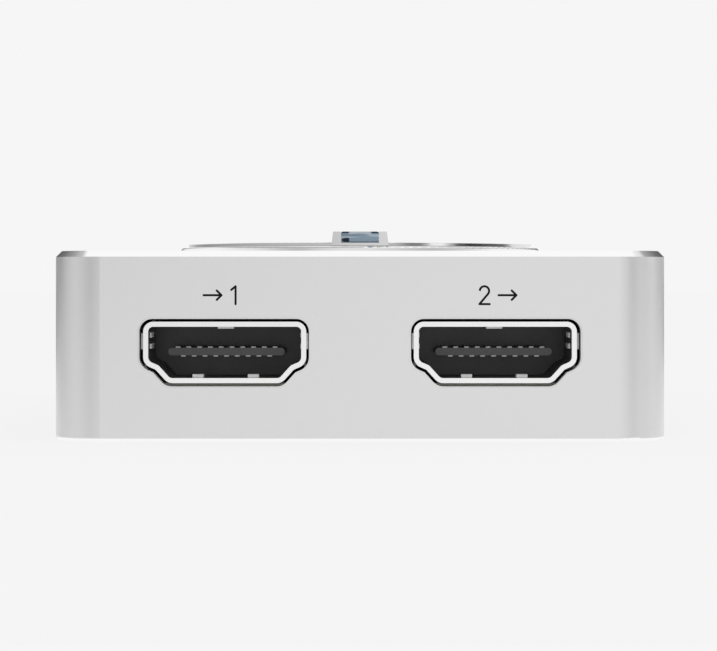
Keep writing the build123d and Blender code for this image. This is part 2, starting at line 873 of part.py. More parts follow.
def on_board(width, depth, height, x, y):
    """A flat package that lies on the board."""
    return block(width, depth, height, x, y, board_top)


def processor():
    return on_board(processor_width, processor_width, processor_height, 0, processor_y)


def thermal_pad():
    """The soft pad between the processor and the casing's pedestal."""
    return block(pad_width, pad_width, pad_thickness, 0, processor_y, processor_top)


def memory_chips():
    """One memory chip on each side of the processor."""
    x = processor_width / 2 + memory_gap + memory_width / 2
    return [
        on_board(memory_width, memory_depth, memory_height, side * x, processor_y)
        for side in (-1, 1)
    ]


def video_chips():
    """The receiver behind the input and the driver behind the loop-through output."""
    return {
        name: on_board(video_chip_width, video_chip_width, video_chip_height, x, video_chip_y)
        for name, x in ports.items()
    }


def data_chip():
    return on_board(data_chip_width, data_chip_width, data_chip_height, data_offset, data_chip_y)


def sound_chip():
    return on_board(sound_chip_width, sound_chip_width, sound_chip_height, jack_offset, data_chip_y)


def power_coils():
    """The coils of the power supply, in a row between the video chips and the potentiometer."""
    return [
        on_board(coil_width, coil_width, coil_height, side * share * inner_half_width, power_row_y)
        for side in (-1, 1)
        for share in coil_shares
    ]


def capacitor_can(x, y):
    """A round can on its square base."""
    base = on_board(2 * can_radius, 2 * can_radius, can_base_height, x, y)
    return base + disc(can_radius, can_height - can_base_height, x, y, board_top + can_base_height)


def capacitor_cans():
    """One can at each end of the row of coils."""
    return [capacitor_can(side * can_share * inner_half_width, power_row_y) for side in (-1, 1)]


def crystals():
    """The two clock crystals, one on each side of the potentiometer."""
    x = pot_width / 2 + crystal_gap + crystal_width / 2
    return [on_board(crystal_width, crystal_length, crystal_height, side * x, 0) for side in (-1, 1)]


def small_capacitors():
    """Rows of small capacitors: one on each side in front of the potentiometer, one beside the data chip."""
    rows = [(x, -pot_depth / 2 - capacitor_row_gap) for x in ports.values()]
    half_row = capacitors_in_row * capacitor_pitch / 2
    rear_edge = data_chip_y + data_chip_width / 2
    rows.append((-data_chip_width / 2 - half_row, rear_edge))
    first = -(capacitors_in_row - 1) / 2
    return [
        on_board(capacitor_width, capacitor_length, capacitor_height, x + (first + i) * capacitor_pitch, y)
        for x, y in rows
        for i in range(capacitors_in_row)
    ]


def nodes():
    """Every named piece, or group of like pieces, and its solids."""
    made = {
        "case": case(),
        "base_plate": base_plate(),
        "base_screws": base_screws(),
        "insulating_sheet": insulating_sheet(),
        "main_board": main_board(),
        "board_screws": board_screws(),
        "data_shell": at_data(data_shell()),
        "data_insulator": at_data(data_insulator()),
        "data_contacts": [at_data(contact) for contact in data_contacts()],
        "audio_jack_body": at_jack(jack_body()),
        "audio_jack_collar": at_jack(jack_collar()),
        "audio_jack_terminals": [at_jack(terminal) for terminal in jack_terminals()],
        "dial": dial(),
        "dial_window": dial_window(),
        "dial_ring": dial_ring(),
        "dial_glide_ring": glide_ring(),
        "dial_bush": dial_bush(),
        "dial_thrust_washer": thrust_washer(),
        "dial_clip": hub_clip(),
        "potentiometer_housing": pot_housing(),
        "potentiometer_wafer": pot_wafer(),
        "potentiometer_shaft": pot_shaft(),
        "potentiometer_terminals": pot_terminals(),
        "processor": processor(),
        "thermal_pad": thermal_pad(),
        "memory_chips": memory_chips(),
        "data_controller": data_chip(),
        "audio_codec": sound_chip(),
        "power_coils": power_coils(),
        "capacitor_cans": capacitor_cans(),
        "crystals": crystals(),
        "small_capacitors": small_capacitors(),
    }
    chips = video_chips()
    for name, x in ports.items():
        made[f"video_{name}_shell"] = at_port(video_shell(), x)
        made[f"video_{name}_insulator"] = at_port(video_insulator(), x)
        made[f"video_{name}_contacts"] = [at_port(contact, x) for contact in video_contacts()]
        made[f"video_{name}_chip"] = chips[name]
    return made


def write_parts():
    """Writes one STEP file for each node."""
    os.makedirs("parts", exist_ok=True)
    for name, shape in nodes().items():
        if isinstance(shape, list):
            shape = Compound(children=[solid for piece in shape for solid in piece.solids()])
        export_step(shape, f"parts/{name}.step")


write_parts()
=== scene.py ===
import json
import math

import bpy
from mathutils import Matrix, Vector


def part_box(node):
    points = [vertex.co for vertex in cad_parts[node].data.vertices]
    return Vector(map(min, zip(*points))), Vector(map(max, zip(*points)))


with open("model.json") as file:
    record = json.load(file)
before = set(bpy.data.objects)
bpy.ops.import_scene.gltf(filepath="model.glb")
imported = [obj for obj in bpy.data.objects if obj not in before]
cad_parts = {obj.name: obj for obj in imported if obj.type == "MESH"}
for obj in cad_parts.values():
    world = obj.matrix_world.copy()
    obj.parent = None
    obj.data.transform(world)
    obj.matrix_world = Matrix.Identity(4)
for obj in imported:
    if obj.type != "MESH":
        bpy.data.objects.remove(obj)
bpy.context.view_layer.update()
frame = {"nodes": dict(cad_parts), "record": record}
nodes = frame["nodes"]

MM = 0.001

# The camera stands level in front of the box, a little below the roof
CAMERA_Y = -0.278
CAMERA_Z = 0.01427
LENS = 126.83
SHIFT_X = -0.0021
SHIFT_Y = -0.0565

# The pale ground and the sun, with its angles in degrees
PALE = 0.92
FLOOR_SIZE = 8.0
FLOOR_GLOW = 0.9
FLOOR_GLOSS = 1.05
FLOOR_GLOSS_BEHIND = 0.3
FLOOR_FADE = (0.13, 0.2)
MATT_LIGHT = 0.95
SUN_TILT = 40
SUN_TURN = 70
SUN_WIDTH = 40
SUN_POWER = 0.24

# The room that polished surfaces mirror, in greys by the turn in degrees from the front towards the right.
# ROOM is the low part, MIDDLE is over it, and HIGH is over both
ROOM = (
    (-180, 0.0), (-152, 0.0), (-138, 0.02), (-129, 0.05), (-112, 0.16), (-98, 0.36), (-80, 0.62),
    (-64, 0.74), (-50, 0.52), (-38, 0.3), (-26, 0.06), (-18, 0.18), (-11, 0.68), (-5, 0.98), (0, 1.1),
    (8, 1.15), (14, 1.1), (22, 0.62), (32, 0.42), (44, 0.42), (58, 0.52), (72, 0.8), (90, 1.06),
    (106, 0.98), (118, 0.6), (130, 0.2), (140, 0.0), (180, 0.0),
)
MIDDLE = (
    (-180, 1.0), (-150, 1.0), (-120, 1.1), (-105, 1.1), (-70, 0.9), (-52, 0.66), (-40, 0.58), (-28, 0.76),
    (-12, 0.9), (5, 0.88), (20, 0.78), (34, 0.66), (48, 0.56), (64, 0.66), (80, 0.84), (96, 1.08),
    (150, 1.08), (180, 1.0),
)
# Narrow cards at the level of the horizon, for the dial's upright rim
CARDS = (
    (-180, 0.95), (-150, 0.6), (-138, 0.42), (-124, 0.36), (-107, 0.42), (-68, 0.52), (-39, 0.6),
    (-15, 0.66), (-4, 0.6), (-1.2, 0.57), (1.2, 0.87), (14, 0.82), (20, 0.62), (25, 0.5), (33, 0.22),
    (40, 0.25), (45, 0.6), (48, 1.05), (56, 1.1), (61, 0.62), (68, 0.1), (77, 0.01), (85, 0.03),
    (93, 0.08), (110, 0.16), (116, 0.4), (122, 0.9), (134, 0.95), (179, 0.95),
)
HIGH = (
    (-180, 0.9), (-145, 0.85), (-120, 0.5), (-20, 0.5), (10, 0.7), (30, 0.82), (150, 0.85), (180, 0.9),
)
# The room overhead, and a band behind the box that slopes up to it, in greys by the sine of the rise
CORNER = (
    (0.0, 0.1), (0.5, 0.16), (0.7, 0.3), (0.8, 0.4), (0.86, 0.58), (0.9, 0.9), (0.93, 1.02), (1.0, 1.02),
)

# Where those parts of the room begin. A rise is given as its sine, and a share of a turn is counted from the
# front to either side
CARDS_RISE = 0.016
CARDS_EDGE = (0.012, 0.02)
ROOM_TOP = (0.22, 0.07)
ROOM_TOP_SHARE = (0.28, 0.37)
ROOM_TOP_EDGE = 0.03
HIGH_RISE = (0.5, 0.66)
OVERHEAD_RISE = (0.86, 0.93)
BAND_SLOPE = 4.4
BAND_LINE = (2.28, 2.17)
BAND_LINE_SHARE = (0.375, 0.46)
BAND_HALF = 0.05
BAND_EDGE = 0.03
BAND_RISE = (0.06, 0.1)
BAND_SHARE = (0.32, 0.34)

# The casing's front wall and its two sockets
FRONT_Y = -48 * MM
WALL_BACK_Y = FRONT_Y + 1.5 * MM
SOCKET_X = 12.38 * MM
SOCKET_REACH = 23 * MM
SOCKET_BOTTOM = 3 * MM
SOCKET_TOP = 12 * MM
LIP_REACH = 7.46 * MM
LIP_BACK_Y = FRONT_Y + 2 * MM
FOOT_TOP = 0.45 * MM
SOFT_EDGE = 0.2 * MM
FINE_EDGE = 0.1 * MM

# Marks printed on the front wall, over the two sockets
MARK_Z = 13.34 * MM
MARK_HEIGHT = 1.62 * MM
MARK_STROKE = 0.2 * MM
MARK_SPACE = 2.1 * MM
# As a share of the marks' height
MARK_EDGE = 0.01

# How much of the insert's length, from its front end, carries the painted reflections
WINDOW_END = 0.3 * MM


# Nodes and materials

def put(tree, kind, sockets=None, **settings):
    """A node of this kind in the tree, with its settings, and its sockets set or linked by name."""
    node = tree.nodes.new(kind)
    for name, value in settings.items():
        setattr(node, name, value)
    for name, value in (sockets or {}).items():
        if isinstance(value, bpy.types.NodeSocket):
            tree.links.new(value, node.inputs[name])
        else:
            node.inputs[name].default_value = value
    return node


def maths(tree, operation, first, second=0.0):
    """The result of a maths node."""
    return put(tree, "ShaderNodeMath", {0: first, 1: second}, operation=operation).outputs[0]


def weighed(tree, first, share, second):
    """Two numbers mixed, with this share of the first."""
    return maths(tree, "ADD", maths(tree, "MULTIPLY", first, share), maths(tree, "MULTIPLY", second, 1 - share))


def vector_maths(tree, operation, first, second=(0.0, 0.0, 0.0)):
    """The result of a vector maths node: a number for a length or a dot product, or else a vector."""
    node = put(tree, "ShaderNodeVectorMath", {0: first, 1: second}, operation=operation)
    return node.outputs["Value" if operation in ("LENGTH", "DOT_PRODUCT") else "Vector"]


def scaled(tree, vector, factor):
    """A vector times a number."""
    return put(tree, "ShaderNodeVectorMath", {0: vector, "Scale": factor}, operation="SCALE").outputs["Vector"]


def axes(tree, vector):
    """The X, Y and Z of a vector."""
    return put(tree, "ShaderNodeSeparateXYZ", {0: vector}).outputs


def facing_axes(tree):
    """The X, Y and Z of the way that the surface faces."""
    return axes(tree, put(tree, "ShaderNodeNewGeometry").outputs["Normal"])


def span(tree, value, low, high, new_low, new_high):
    """A value moved smoothly from one span to another, and kept inside it."""
    sockets = {"Value": value, "From Min": low, "From Max": high, "To Min": new_low, "To Max": new_high}
    return put(tree, "ShaderNodeMapRange", sockets, interpolation_type="SMOOTHSTEP").outputs["Result"]


def span_straight(tree, value, low, high, new_low, new_high):
    """A value moved evenly from one span to another, and kept inside it."""
    sockets = {"Value": value, "From Min": low, "From Max": high, "To Min": new_low, "To Max": new_high}
    return put(tree, "ShaderNodeMapRange", sockets).outputs["Result"]


def spread(tree, shade, low, high):
    """A shade's usual run, moved to another span."""
    return span(tree, shade, 0.3, 0.7, low, high)


def tone(value):
    """A grey, or a colour, with its alpha."""
    red, green, blue = value if isinstance(value, tuple) else (value, value, value)
    return (red, green, blue, 1.0)


def blend_colours(tree, factor, first, second):
    """Two colours mixed by a mask."""
    mix = put(tree, "ShaderNodeMix", {"Factor": factor}, data_type="RGBA")
    for socket, value in ((mix.inputs[6], first), (mix.inputs[7], second)):
        if isinstance(value, bpy.types.NodeSocket):
            tree.links.new(value, socket)
        else:
            socket.default_value = tone(value)
    return mix.outputs[2]


def noise(tree, place, scale, detail=2.0):
    """Soft noise from 0 to 1, with spots about 1 / scale across."""
    return put(tree, "ShaderNodeTexNoise", {"Vector": place, "Scale": scale, "Detail": detail}).outputs["Fac"]


def stretched(tree, place, stretch):
    """A place scaled along each axis."""
    sockets = {"Vector": place, "Scale": stretch}
    return put(tree, "ShaderNodeMapping", sockets).outputs["Vector"]


def new_effect(name, inputs):
    """A node group that turns a place and some numbers into a shade from 0 to 1 and a height."""
    group = bpy.data.node_groups.new(name, "ShaderNodeTree")
    group.interface.new_socket("Place", in_out="INPUT", socket_type="NodeSocketVector")
    for label, value in inputs.items():
        socket = group.interface.new_socket(label, in_out="INPUT", socket_type="NodeSocketFloat")
        socket.default_value = value
    for label in ("Shade", "Height"):
        group.interface.new_socket(label, in_out="OUTPUT", socket_type="NodeSocketFloat")
    given = group.nodes.new("NodeGroupInput").outputs
    return group, given


def end_effect(group, shade, height):
    """Links what the group gives out."""
    put(group, "NodeGroupOutput", {"Shade": shade, "Height": height})
    return group


def blasted_effect():
    """Fine pits all over, as bead blasting leaves, with a faint cloudiness from the bath."""
    group, given = new_effect("blasted", {"Grain": 9000.0, "Cloud": 60.0})
    pits = noise(group, given["Place"], given["Grain"], 3.0)
    clouds = noise(group, given["Place"], given["Cloud"], 3.0)
    return end_effect(group, weighed(group, pits, 0.6, clouds), pits)


def brushed_effect():
    """Long fine scratches along Y, over faint broad streaks."""
    group, given = new_effect("brushed", {"Grain": 7000.0, "Cloud": 80.0})
    along = stretched(group, given["Place"], (1.0, 0.02, 1.0))
    scratches = noise(group, along, given["Grain"], 4.0)
    streaks = noise(group, along, given["Cloud"], 2.0)
    return end_effect(group, weighed(group, scratches, 0.7, streaks), scratches)


def turned_effect():
    """Fine rings round the upright axis of the piece, as a lathe tool leaves."""
    group, given = new_effect("turned", {"Grain": 6000.0, "Cloud": 50.0})
    radius = vector_maths(group, "LENGTH", vector_maths(group, "MULTIPLY", given["Place"], (1.0, 1.0, 0.0)))
    upright = axes(group, given["Place"])["Z"]
    across = put(group, "ShaderNodeCombineXYZ", {"X": radius, "Z": upright}).outputs[0]
    rings = noise(group, across, given["Grain"], 3.0)
    clouds = noise(group, given["Place"], given["Cloud"], 2.0)
    return end_effect(group, weighed(group, rings, 0.75, clouds), rings)


def moulded_effect():
    """The fine spark-eroded texture of moulded plastic, with soft flow marks."""
    group, given = new_effect("moulded", {"Grain": 8000.0, "Cloud": 150.0})
    cells = put(group, "ShaderNodeTexVoronoi", {"Vector": given["Place"], "Scale": given["Grain"]})
    pits = cells.outputs["Distance"]
    flow = noise(group, stretched(group, given["Place"], (1.0, 0.3, 1.0)), given["Cloud"], 3.0)
    return end_effect(group, weighed(group, pits, 0.5, flow), pits)


EFFECTS = {
    "blasted": blasted_effect(),
    "brushed": brushed_effect(),
    "turned": turned_effect(),
    "moulded": moulded_effect(),
}


def new_finish(name, **sockets):
    """A material with a Principled shader, its uniform values, and the place to draw on."""
    made = bpy.data.materials.new(name)
    made.use_nodes = True
    tree = made.node_tree
    shader = tree.nodes["Principled BSDF"]
    for label, value in sockets.items():
        shader.inputs[label.replace("_", " ")].default_value = value
    place = put(tree, "ShaderNodeTexCoord").outputs["Object"]
    return made, tree, shader, place


def effect(tree, name, place, **numbers):
    """One of the shared effects in a material, with this material's numbers."""
    node = put(tree, "ShaderNodeGroup", node_tree=EFFECTS[name])
    tree.links.new(place, node.inputs["Place"])
    for label, value in numbers.items():
        node.inputs[label].default_value = value
    return node.outputs["Shade"], node.outputs["Height"]


def bump(tree, shader, height, depth):
    """Makes the shader's surface rise by depth times height."""
    node = put(tree, "ShaderNodeBump", {"Height": height, "Distance": depth, "Strength": 1.0})
    tree.links.new(node.outputs["Normal"], shader.inputs["Normal"])


def plain_finish(name, pattern, dark, light, smooth, rough, depth, numbers=None, **sockets):
    """A finish whose colour, roughness and relief all follow one of the shared effects."""
    made, tree, shader, place = new_finish(name, **sockets)
    shade, height = effect(tree, pattern, place, **(numbers or {}))
    colour = blend_colours(tree, spread(tree, shade, 0.0, 1.0), dark, light)
    tree.links.new(colour, shader.inputs["Base Color"])
    tree.links.new(spread(tree, shade, smooth, rough), shader.inputs["Roughness"])
    bump(tree, shader, height, depth)
    return made


def both(tree, *masks):
    """Where every one of the masks holds."""
    held = masks[0]
    for mask in masks[1:]:
        held = maths(tree, "MULTIPLY", held, mask)
    return held


def band(tree, value, low, high, edge):
    """A mask that is 1 between two values and fades to 0 over the edge outside them."""
    rise = span(tree, value, low - edge, low, 0.0, 1.0)
    fall = span(tree, value, high, high + edge, 1.0, 0.0)
    return both(tree, rise, fall)


def mix_numbers(tree, mask, first, second):
    """Two numbers mixed by a mask."""
    return put(tree, "ShaderNodeMix", {"Factor": mask, "A": first, "B": second}, data_type="FLOAT").outputs[0]


def stroke_effect():
    """How far a place is from a straight stroke, given by its start and the step to its end."""
    group = bpy.data.node_groups.new("stroke", "ShaderNodeTree")
    for label in ("Place", "Start", "Step"):
        group.interface.new_socket(label, in_out="INPUT", socket_type="NodeSocketVector")
    group.interface.new_socket("Distance", in_out="OUTPUT", socket_type="NodeSocketFloat")
    given = group.nodes.new("NodeGroupInput").outputs
    from_start = vector_maths(group, "SUBTRACT", given["Place"], given["Start"])
    along = vector_maths(group, "DOT_PRODUCT", from_start, given["Step"])
    whole = vector_maths(group, "DOT_PRODUCT", given["Step"], given["Step"])
    share = put(group, "ShaderNodeMath", {0: along, 1: whole}, operation="DIVIDE", use_clamp=True)
    nearest = scaled(group, given["Step"], share.outputs[0])
    off = vector_maths(group, "SUBTRACT", from_start, nearest)
    put(group, "NodeGroupOutput", {"Distance": vector_maths(group, "LENGTH", off)})
    return group


STROKE = stroke_effect()

# Strokes of the marks, in mark heights from the middle of each
ARROW = (((-0.5, 0), (0.5, 0)), ((0.5, 0), (0.24, 0.26)), ((0.5, 0), (0.24, -0.26)))
ONE = (((0, -0.5), (0, 0.5)), ((0, 0.5), (-0.24, 0.3)))
TWO = (((0.21, 0.08), (-0.28, -0.5)), ((-0.28, -0.5), (0.29, -0.5)))
TWO_BOW = (0, 0.24, 0.26)


def stroke(tree, place, start, end):
    """The distance from one stroke of a mark."""
    node = put(tree, "ShaderNodeGroup", node_tree=STROKE)
    tree.links.new(place, node.inputs["Place"])
    node.inputs["Start"].default_value = (start[0], 0, start[1])
    node.inputs["Step"].default_value = (end[0] - start[0], 0, end[1] - start[1])
    return node.outputs["Distance"]


def bow(tree, place, middle_x, middle_z, radius):
    """The distance from the upper right part of a circle, the round top of a 2."""
    off = vector_maths(tree, "SUBTRACT", place, (middle_x, 0.0, middle_z))
    length = vector_maths(tree, "LENGTH", off)
    split = axes(tree, off)
    drop = maths(tree, "MULTIPLY", maths(tree, "ADD", split["X"], radius), -0.33)
    below = maths(tree, "LESS_THAN", split["Z"], drop)
    return maths(tree, "ADD", maths(tree, "ABSOLUTE", maths(tree, "SUBTRACT", length, radius)), below)


def marks(tree, where, facing):
    """A mask for the printed marks: an arrow and a plain numeral over each socket."""
    nearest = None
    for middle, step, numeral in ((-SOCKET_X, 1, ONE), (SOCKET_X, -1, TWO)):
        for offset, strokes in ((-step, ARROW), (step, numeral)):
            x = maths(tree, "SUBTRACT", where["X"], middle + offset * MARK_SPACE / 2)
            z = maths(tree, "SUBTRACT", where["Z"], MARK_Z)
            local = put(tree, "ShaderNodeCombineXYZ", {"X": x, "Z": z}).outputs[0]
            local = scaled(tree, local, 1 / MARK_HEIGHT)
            distances = [stroke(tree, local, start, end) for start, end in strokes]
            if strokes is TWO:
                distances.append(bow(tree, local, *TWO_BOW))
            for distance in distances:
                nearest = distance if nearest is None else maths(tree, "MINIMUM", nearest, distance)
    half = MARK_STROKE / MARK_HEIGHT / 2
    printed = span(tree, nearest, half - MARK_EDGE, half + MARK_EDGE, 1.0, 0.0)
    return both(tree, printed, span(tree, facing["Y"], -0.99, -0.95, 1.0, 0.0))


def case_finish():
    """Satin silver anodising over bead blasting, with edges that are cut bright, socket hole walls darkened
    with painted shade, and the upward sills of those holes lightened with painted light.
    """
    made, tree, shader, place = new_finish("satin_anodised")
    shade, height = effect(tree, "blasted", place)
    where = axes(tree, place)
    facing = facing_axes(tree)
    rim = band(tree, facing["Z"], 0.5, 0.85, 0.1)
    low = span(tree, where["Z"], FOOT_TOP - FINE_EDGE, FOOT_TOP, 1.0, 0.0)
    foot = both(tree, low, span(tree, facing["Z"], -0.35, -0.1, 1.0, 0.0))
    across = maths(tree, "ABSOLUTE", where["X"])
    near = both(
        tree,
        span(tree, across, SOCKET_REACH - SOFT_EDGE, SOCKET_REACH, 1.0, 0.0),
        span(tree, where["Y"], WALL_BACK_Y - FINE_EDGE, WALL_BACK_Y, 1.0, 0.0),
        band(tree, where["Z"], SOCKET_BOTTOM, SOCKET_TOP, SOFT_EDGE),
    )
    broken = both(tree, near, band(tree, facing["Y"], -0.85, -0.5, 0.1))
    shaded_hole_walls = both(tree, near, band(tree, facing["Y"], -0.3, 0.3, 0.1))
    bright = maths(tree, "MAXIMUM", maths(tree, "MAXIMUM", rim, foot), broken)
    colour = blend_colours(tree, spread(tree, shade, 0.0, 1.0), 0.725, 0.745)
    # The socket hole walls are darkened to 0.2 in colour: painted shade in the recess around each socket.
    colour = blend_colours(tree, shaded_hole_walls, colour, 0.2)
    # Their upward-facing sills are lightened to 0.45: painted light falling from above into the recess.
    lit_sill = both(tree, near, span(tree, facing["Z"], 0.2, 0.5, 0.0, 1.0))
    colour = blend_colours(tree, lit_sill, colour, 0.45)
    colour = blend_colours(tree, marks(tree, where, facing), colour, 0.012)
    tree.links.new(blend_colours(tree, bright, colour, 0.93), shader.inputs["Base Color"])
    rough = spread(tree, shade, 0.28, 0.32)
    tree.links.new(mix_numbers(tree, bright, rough, 0.09), shader.inputs["Roughness"])
    tree.links.new(mix_numbers(tree, shaded_hole_walls, 1.0, 0.2), shader.inputs["Metallic"])
    relief = maths(tree, "MULTIPLY", height, maths(tree, "SUBTRACT", 1.0, bright))
    bump(tree, shader, relief, 0.004 * MM)
    return made


def shell_finish():
    """Bright nickel on the lip, and dull tin behind it and on the clips at its ends."""
    made, tree, shader, place = new_finish("bright_nickel")
    shade, height = effect(tree, "brushed", place, Grain=5000.0)
    where = axes(tree, place)
    inside = span(tree, where["Y"], LIP_BACK_Y - FINE_EDGE, LIP_BACK_Y, 0.0, 1.0)
    across = maths(tree, "ABSOLUTE", where["X"])
    reach = maths(tree, "ABSOLUTE", maths(tree, "SUBTRACT", across, SOCKET_X))
    clip = span(tree, reach, LIP_REACH + 0.01 * MM, LIP_REACH + 0.03 * MM, 0.0, 1.0)
    dull = maths(tree, "MAXIMUM", inside, clip)
    tree.links.new(blend_colours(tree, shade, 0.83, 0.87), shader.inputs["Base Color"])
    tree.links.new(mix_numbers(tree, dull, 1.0, 0.1), shader.inputs["Metallic"])
    rough = spread(tree, shade, 0.14, 0.22)
    tree.links.new(mix_numbers(tree, dull, rough, 0.5), shader.inputs["Roughness"])
    bump(tree, shader, height, 0.001 * MM)
    return made


def dial_finish():
    """Spun on top, polished round the side."""
    made, tree, shader, place = new_finish("spun_and_polished", Metallic=1.0)
    shade, height = effect(tree, "turned", place, Grain=5000.0)
    on_face = span(tree, facing_axes(tree)["Z"], 0.5, 0.9, 0.0, 1.0)
    tree.links.new(blend_colours(tree, shade, 0.77, 0.81), shader.inputs["Base Color"])
    spun = spread(tree, shade, 0.2, 0.34)
    tree.links.new(mix_numbers(tree, on_face, 0.06, spun), shader.inputs["Roughness"])
    bump(tree, shader, maths(tree, "MULTIPLY", height, on_face), 0.004 * MM)
    return made


def painted_reflections(tree, where, low, high, body):
    """The body colour with painted reflections on the insert's end: a painted highlight arc, glint and light
    line, dark painted reflection streaks, corners and base line, and a dark reflected nose at the left.
    """
    across = span_straight(tree, where["X"], low[0], high[0], -1.0, 1.0)
    rise = span_straight(tree, where["Z"], low[2], high[2], 0.0, 1.0)
    outwards = maths(tree, "ABSOLUTE", across)
    arch = maths(tree, "ADD", rise, maths(tree, "MULTIPLY", maths(tree, "POWER", outwards, 2.0), 0.45))
    crown = both(tree, span(tree, arch, 0.78, 0.86, 0.0, 1.0), span(tree, outwards, 0.45, 0.75, 1.0, 0.0))
    streak = both(tree, band(tree, rise, 0.64, 0.74, 0.06), span(tree, across, -0.4, 0.2, 1.0, 0.0))
    line = both(tree, band(tree, rise, 0.46, 0.55, 0.04), span(tree, across, -0.6, 0.1, 1.0, 0.1))
    glint = both(tree, band(tree, rise, 0.58, 0.72, 0.05), span(tree, across, 0.2, 0.8, 0.0, 1.0))
    ends = both(tree, span(tree, outwards, 0.56, 0.64, 0.0, 1.0), span(tree, rise, 0.8, 0.88, 0.0, 1.0))
    base_line = span(tree, rise, 0.09, 0.18, 1.0, 0.0)
    half = maths(tree, "ABSOLUTE", maths(tree, "SUBTRACT", rise, 0.25))
    nose = maths(tree, "ADD", across, maths(tree, "MULTIPLY", maths(tree, "POWER", half, 2.0), -5.0))
    tip = both(
        tree,
        span(tree, nose, -1.02, -0.94, 0.0, 1.0),
        span(tree, across, -0.6, -0.54, 1.0, 0.0),
        span(tree, half, 0.15, 0.22, 1.0, 0.0),
    )
    # Each mask paints a reflection into the colour: the light ones are painted highlights, and the dark ones
    # are painted reflections of dark surroundings.
    for mask, strength, colour in (
        (crown, 0.8, (0.58, 0.63, 0.68)),
        (streak, 0.7, (0.17, 0.23, 0.29)),
        (line, 0.7, (0.5, 0.56, 0.61)),
        (glint, 0.7, (0.52, 0.64, 0.74)),
        (ends, 1.0, (0.03, 0.05, 0.075)),
        (base_line, 0.7, (0.08, 0.1, 0.13)),
        (tip, 1.0, (0.004, 0.012, 0.028)),
    ):
        body = blend_colours(tree, maths(tree, "MULTIPLY", mask, strength), body, colour)
    return body


def window_finish():
    """Tinted blue plastic with a clear coat on top, and painted reflections at its front end."""
    made, tree, shader, place = new_finish("tinted_blue", Coat_Roughness=0.05, Specular_IOR_Level=0.2)
    shade, height = effect(tree, "moulded", place, Grain=3000.0, Cloud=400.0)
    low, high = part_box("dial_window")
    where = axes(tree, place)
    body = blend_colours(tree, shade, (0.245, 0.33, 0.41), (0.295, 0.39, 0.47))
    end_with_painted_reflections = painted_reflections(tree, where, low, high, body)
    plain = blend_colours(tree, shade, (0.2, 0.265, 0.33), (0.25, 0.32, 0.39))
    near_end = span(tree, where["Y"], low[1] + FINE_EDGE, low[1] + WINDOW_END, 1.0, 0.0)
    tree.links.new(blend_colours(tree, near_end, plain, end_with_painted_reflections), shader.inputs["Base Color"])
    on_top = span(tree, facing_axes(tree)["Z"], 0.4, 0.8, 0.05, 0.6)
    tree.links.new(on_top, shader.inputs["Coat Weight"])
    tree.links.new(span(tree, shade, 0.2, 0.8, 0.12, 0.2), shader.inputs["Roughness"])
    bump(tree, shader, height, 0.0004 * MM)
    return made


def board_finish():
    """Green solder mask over copper, with the routes and rows of vias that show through it."""
    made, tree, shader, place = new_finish("solder_mask", Coat_Weight=0.4)
    shade, height = effect(tree, "moulded", place, Grain=2500.0)
    routes = put(tree, "ShaderNodeTexBrick", {
        "Vector": place, "Scale": 700.0, "Color1": tone(0.0), "Color2": tone(0.35), "Mortar": tone(1.0),
        "Mortar Size": 0.06, "Mortar Smooth": 0.2, "Brick Width": 2.6, "Row Height": 0.42,
    }, offset=0.37)
    vias = put(tree, "ShaderNodeTexVoronoi", {"Vector": place, "Scale": 330.0, "Randomness": 0.6})
    via = span(tree, vias.outputs["Distance"], 0.09, 0.13, 1.0, 0.0)
    copper = maths(tree, "MAXIMUM", routes.outputs["Fac"], via)
    mask = blend_colours(tree, shade, (0.012, 0.085, 0.045), (0.02, 0.12, 0.065))
    face = blend_colours(tree, copper, mask, (0.045, 0.2, 0.1))
    edge = span(tree, maths(tree, "ABSOLUTE", facing_axes(tree)["Z"]), 0.4, 0.6, 1.0, 0.0)
    tree.links.new(blend_colours(tree, edge, face, (0.5, 0.5, 0.42)), shader.inputs["Base Color"])
    tree.links.new(span(tree, shade, 0.2, 0.8, 0.28, 0.4), shader.inputs["Roughness"])
    relief = maths(tree, "ADD", copper, maths(tree, "MULTIPLY", height, 0.1))
    bump(tree, shader, relief, 0.03 * MM)
    return made


